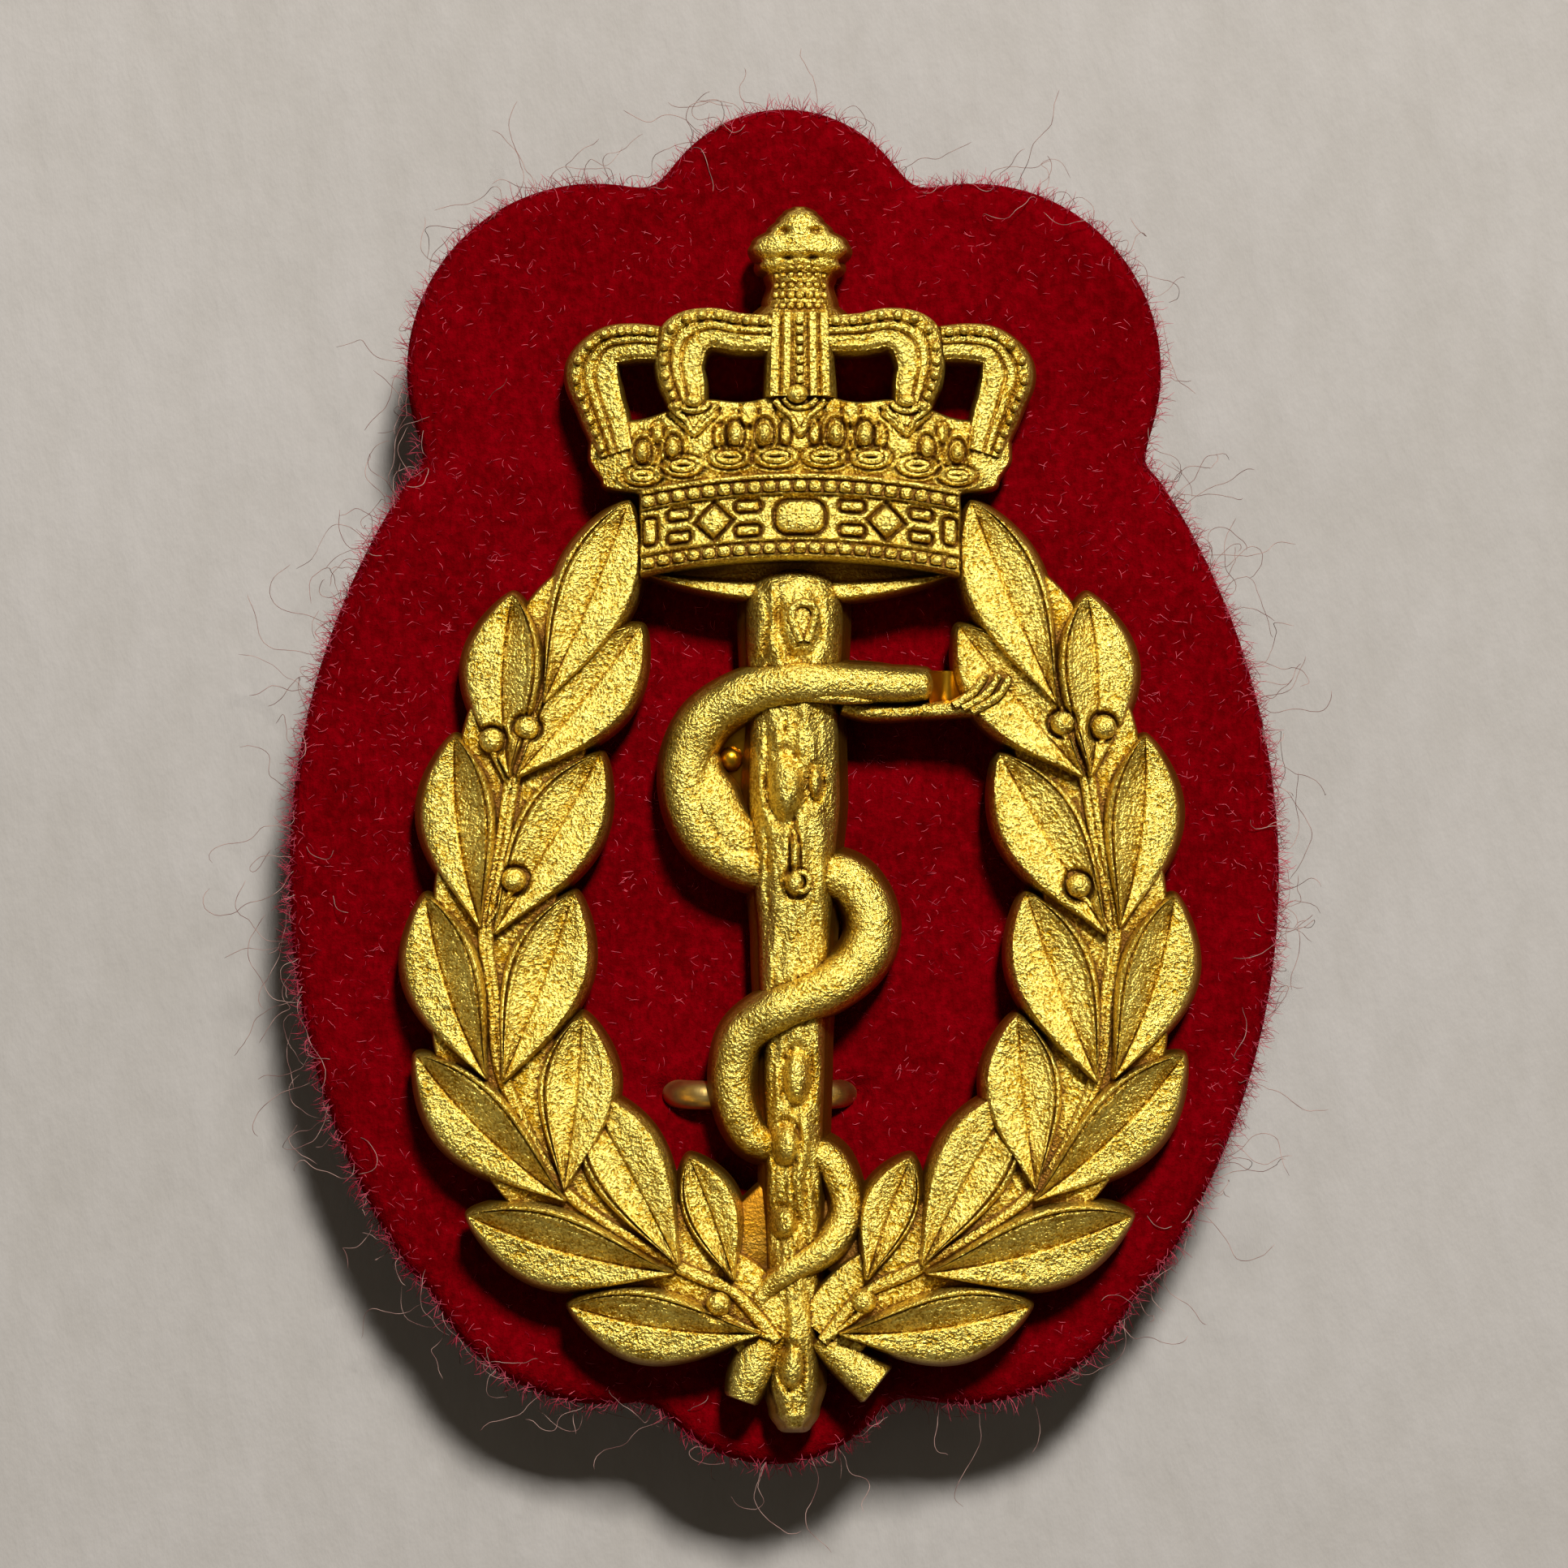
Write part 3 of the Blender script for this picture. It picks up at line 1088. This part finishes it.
def felt(material):
    """The backing: a thick soft-edged sheet, uneven, and pressed in where the loops go through."""
    middle = FELT_BOTTOM + FELT_THICK / 2
    loops = [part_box(node) for node in ("upper_loop", "lower_loop")]
    slits = [(low[0] / MM, high[0] / MM, (low[1] + high[1]) / 2 / MM) for low, high in loops]

    def face_z(sign, x, y, share):
        rough = 0.05 * noise.fractal(Vector((x * 0.7, y * 0.7, sign)), 0.8, 2.2, 4)
        pressed = 0.5 * sum(hump(hypot(max(left - x, 0, x - right), y - at) / 0.42)
                            for left, right, at in slits)
        return middle + sign * ((share - 0.5) * FELT_THICK + rough * (share - 0.5) - pressed)

    bm = bmesh.new()
    cut = bmesh.ops.create_circle(bm, segments=FELT_SEGMENTS, radius=1, cap_ends=False)["verts"]
    cut.sort(key=lambda v: atan2(v.co.y, v.co.x) % (2 * pi))
    for k, v in enumerate(cut):
        v.co = (*felt_outline(k), middle)
    first = list(bm.edges)
    steps = [(inset, share, 1.0) for inset, share in ROUND_EDGE]
    steps += [(*ROUND_EDGE[-1], 1 - n / FACE_RINGS) for n in range(1, FACE_RINGS)]
    for sign in (1, -1):
        ring, edges = cut, first
        for inset, share, scale in steps:
            made = bmesh.ops.extrude_edge_only(bm, edges=edges)["geom"]
            fresh = {g for g in made if isinstance(g, bmesh.types.BMVert)}
            edges = [g for g in made if isinstance(g, bmesh.types.BMEdge) and g.is_boundary]
            ring = [next(e.other_vert(v) for e in v.link_edges if e.other_vert(v) in fresh)
                    for v in ring]
            for k, v in enumerate(ring):
                x, y = felt_outline(k, inset) * scale
                v.co = (x, y, face_z(sign, x, y, share))
        bmesh.ops.contextual_create(bm, geom=edges)
    bmesh.ops.recalc_face_normals(bm, faces=bm.faces)
    bm.transform(Matrix.Scale(MM, 4))
    for face in bm.faces:
        face.smooth = True
    mesh = bpy.data.meshes.new("felt_sheet")
    bm.to_mesh(mesh)
    bm.free()
    return add_piece("felt_sheet", mesh, material, "wool_felt", ["felt_backing"])


def hair(draw, start, heading, length, points, curl, droop, floor):
    """The points of one curly hair, from start along heading, never lower than floor."""
    at = Vector(start)
    heading = Vector(heading).normalized()
    turn = Vector((draw.gauss(0, 1), draw.gauss(0, 1), draw.gauss(0, 0.5)))
    path = [at.copy()]
    for _ in range(points - 1):
        turn = turn * 0.75 + 0.6 * Vector((draw.gauss(0, 1), draw.gauss(0, 1), draw.gauss(0, 0.5)))
        heading = (heading + curl * turn).normalized()
        heading.z -= droop
        at = at + heading * length / (points - 1)
        at.z = max(at.z, floor)
        path.append(at.copy())
    return path


def hair_piece(name, paths, radius, material):
    """Many fine hairs as one mesh of thin closed tubes."""
    curve = bpy.data.curves.new(name, "CURVE")
    curve.dimensions = "3D"
    curve.bevel_depth = radius * MM
    curve.bevel_resolution = 0
    curve.use_fill_caps = True
    for path in paths:
        line = curve.splines.new("POLY")
        line.points.add(len(path) - 1)
        for i, (point, at) in enumerate(zip(line.points, path)):
            point.co = (*(at * MM), 1)
            point.radius = 1.0 if i < len(path) - 1 else 0.4
    source = bpy.data.objects.new(name + "_lines", curve)
    bpy.context.collection.objects.link(source)
    shaped = source.evaluated_get(bpy.context.evaluated_depsgraph_get())
    mesh = bpy.data.meshes.new_from_object(shaped)
    bpy.data.objects.remove(source)
    mesh.name = name
    bm = bmesh.new()
    bm.from_mesh(mesh)
    bmesh.ops.remove_doubles(bm, verts=bm.verts, dist=0.0005 * MM)
    bmesh.ops.recalc_face_normals(bm, faces=bm.faces)
    bm.to_mesh(mesh)
    bm.free()
    return add_piece(name, mesh, material, "wool_felt")


# Hairs of each kind: how many, and their radius in mm.
NAP_HAIRS, EDGE_HAIRS, LOOSE_HAIRS = (6800, 0.0065), (6600, 0.0085), (300, 0.011)
SEED = 1907


def fuzz(nap_wool, edge_wool, loose_wool):
    """The felt's nap, the short hairs on its cut edge and the long loose ones."""
    draw = random.Random(SEED)

    def edge_point(inset, low, high, scatter, rise, rise_scatter):
        """A place inset() from the cut edge and low to high in its thickness, and a heading
        away from it. inset is a function, so that it draws after the place does."""
        k = draw.randrange(FELT_SEGMENTS)
        x, y = felt_outline(k, inset())
        out = (felt_outline(k) - felt_outline(k, 0.5)).normalized()
        z = FELT_BOTTOM + FELT_THICK * draw.uniform(low, high)
        heading = (out.x + draw.gauss(0, scatter), out.y + draw.gauss(0, scatter),
                   draw.gauss(rise, rise_scatter))
        return (x, y, z), heading

    nap, edge, loose = [], [], []
    for _ in range(NAP_HAIRS[0]):
        k = draw.randrange(FELT_SEGMENTS)
        x, y = felt_outline(k, 0.3) * sqrt(draw.random())
        angle = draw.gauss(0, 0.55) + pi * draw.randrange(2)
        heading = (cos(angle), sin(angle), draw.uniform(0.0, 0.4))
        nap.append(hair(draw, (x, y, FELT_TOP - 0.01), heading, draw.uniform(0.12, 0.42),
                        points=4, curl=0.35, droop=0.12, floor=FELT_TOP - 0.01))
    for _ in range(EDGE_HAIRS[0]):
        start, heading = edge_point(lambda: draw.uniform(0.02, 0.35), 0.1, 0.98, 0.5, 0.1, 0.5)
        edge.append(hair(draw, start, heading, draw.uniform(0.2, 0.75),
                         points=4, curl=0.35, droop=0.02, floor=0.1))
    for _ in range(LOOSE_HAIRS[0]):
        start, heading = edge_point(lambda: 0.2, 0.1, 0.9, 0.6, 0.1, 0.3)
        loose.append(hair(draw, start, heading, draw.uniform(1.2, 4.6),
                          points=24, curl=0.3, droop=0.008, floor=0.15))
    return [hair_piece("felt_nap", nap, NAP_HAIRS[1], nap_wool),
            hair_piece("felt_edge_fuzz", edge, EDGE_HAIRS[1], edge_wool),
            hair_piece("felt_loose_hairs", loose, LOOSE_HAIRS[1], loose_wool)]


# -------------------- the scene

# The camera's distance and the width it sees there. Lamps: name, place, size and watts.
CAMERA_AWAY, VIEW_WIDTH = 0.21, 0.0543
LAMPS = [("key", (0.095, 0.318, 0.44), 0.08, 5.1), ("fill", (-0.35, -0.25, 0.5), 0.5, 0.15)]
ROOM_COLOUR, ROOM_STRENGTH = (1.0, 0.87, 0.66, 1), 0.075


def camera():
    """Straight above the badge, which fills most of the frame."""
    data = bpy.data.cameras.new("camera")
    data.sensor_width = 36.0
    data.lens = data.sensor_width * CAMERA_AWAY / VIEW_WIDTH
    data.clip_start, data.clip_end = 0.01, 10
    eye = bpy.data.objects.new("camera", data)
    eye.location = (0.0, 0.0001, CAMERA_AWAY + emblem_back)
    bpy.context.collection.objects.link(eye)
    bpy.context.scene.camera = eye


def studio():
    """A pale floor, a small key lamp beyond the crown and a weak soft one on the other side."""
    bpy.ops.mesh.primitive_plane_add(size=3, location=(0, 0, 0))
    floor = bpy.context.object
    floor.name = "floor"
    floor.data.materials.append(pale_paper())
    for name, place, size, power in LAMPS:
        data = bpy.data.lights.new(name, "AREA")
        data.size = size
        data.energy = power
        lamp = bpy.data.objects.new(name, data)
        lamp.location = place
        lamp.rotation_euler = (-Vector(place)).to_track_quat("-Z", "Y").to_euler()
        bpy.context.collection.objects.link(lamp)
    world = bpy.data.worlds.new("room")
    world.use_nodes = True
    background = world.node_tree.nodes["Background"]
    background.inputs["Color"].default_value = ROOM_COLOUR
    background.inputs["Strength"].default_value = ROOM_STRENGTH
    bpy.context.scene.world = world
    bpy.context.scene.view_settings.view_transform = "Standard"


# Dark and pale colours of the felt's hairs. The loose ones are greyer than the felt.
WOOLS = {"nap_wool": ((0.26, 0.008, 0.02), (0.80, 0.13, 0.17)),
         "edge_wool": ((0.22, 0.006, 0.02), (0.46, 0.07, 0.10)),
         "loose_wool": ((0.17, 0.08, 0.07), (0.38, 0.24, 0.20))}


def main():
    camera()
    studio()
    gilt, polish, wire = matt_gilt(), polished_gilt(), brass_wire()
    for side in SIDES:
        for number in range(1, len(SPRIGS) + 1):
            sprig(side, number, gilt)
        branch(side, gilt)
        berries(side, gilt)
    staff(gilt)
    serpent(gilt)
    webs(polish)
    lining(gilt)
    circlet(gilt)
    band(gilt)
    arches(gilt)
    finial(gilt)
    gilded = ("matt_gilt", "polished_gilt")
    tarnish([piece for piece in bpy.data.objects if piece.get("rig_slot") in gilded])
    for node in ("upper_loop", "lower_loop", "split_pin"):
        piece = frame["nodes"][node]
        piece.data.materials.clear()
        piece.data.materials.append(wire)
    cloth = felt(wool_felt())
    fluff = fuzz(*(wool_fibre(name, *colours) for name, colours in WOOLS.items()))
    felt_area()


main()
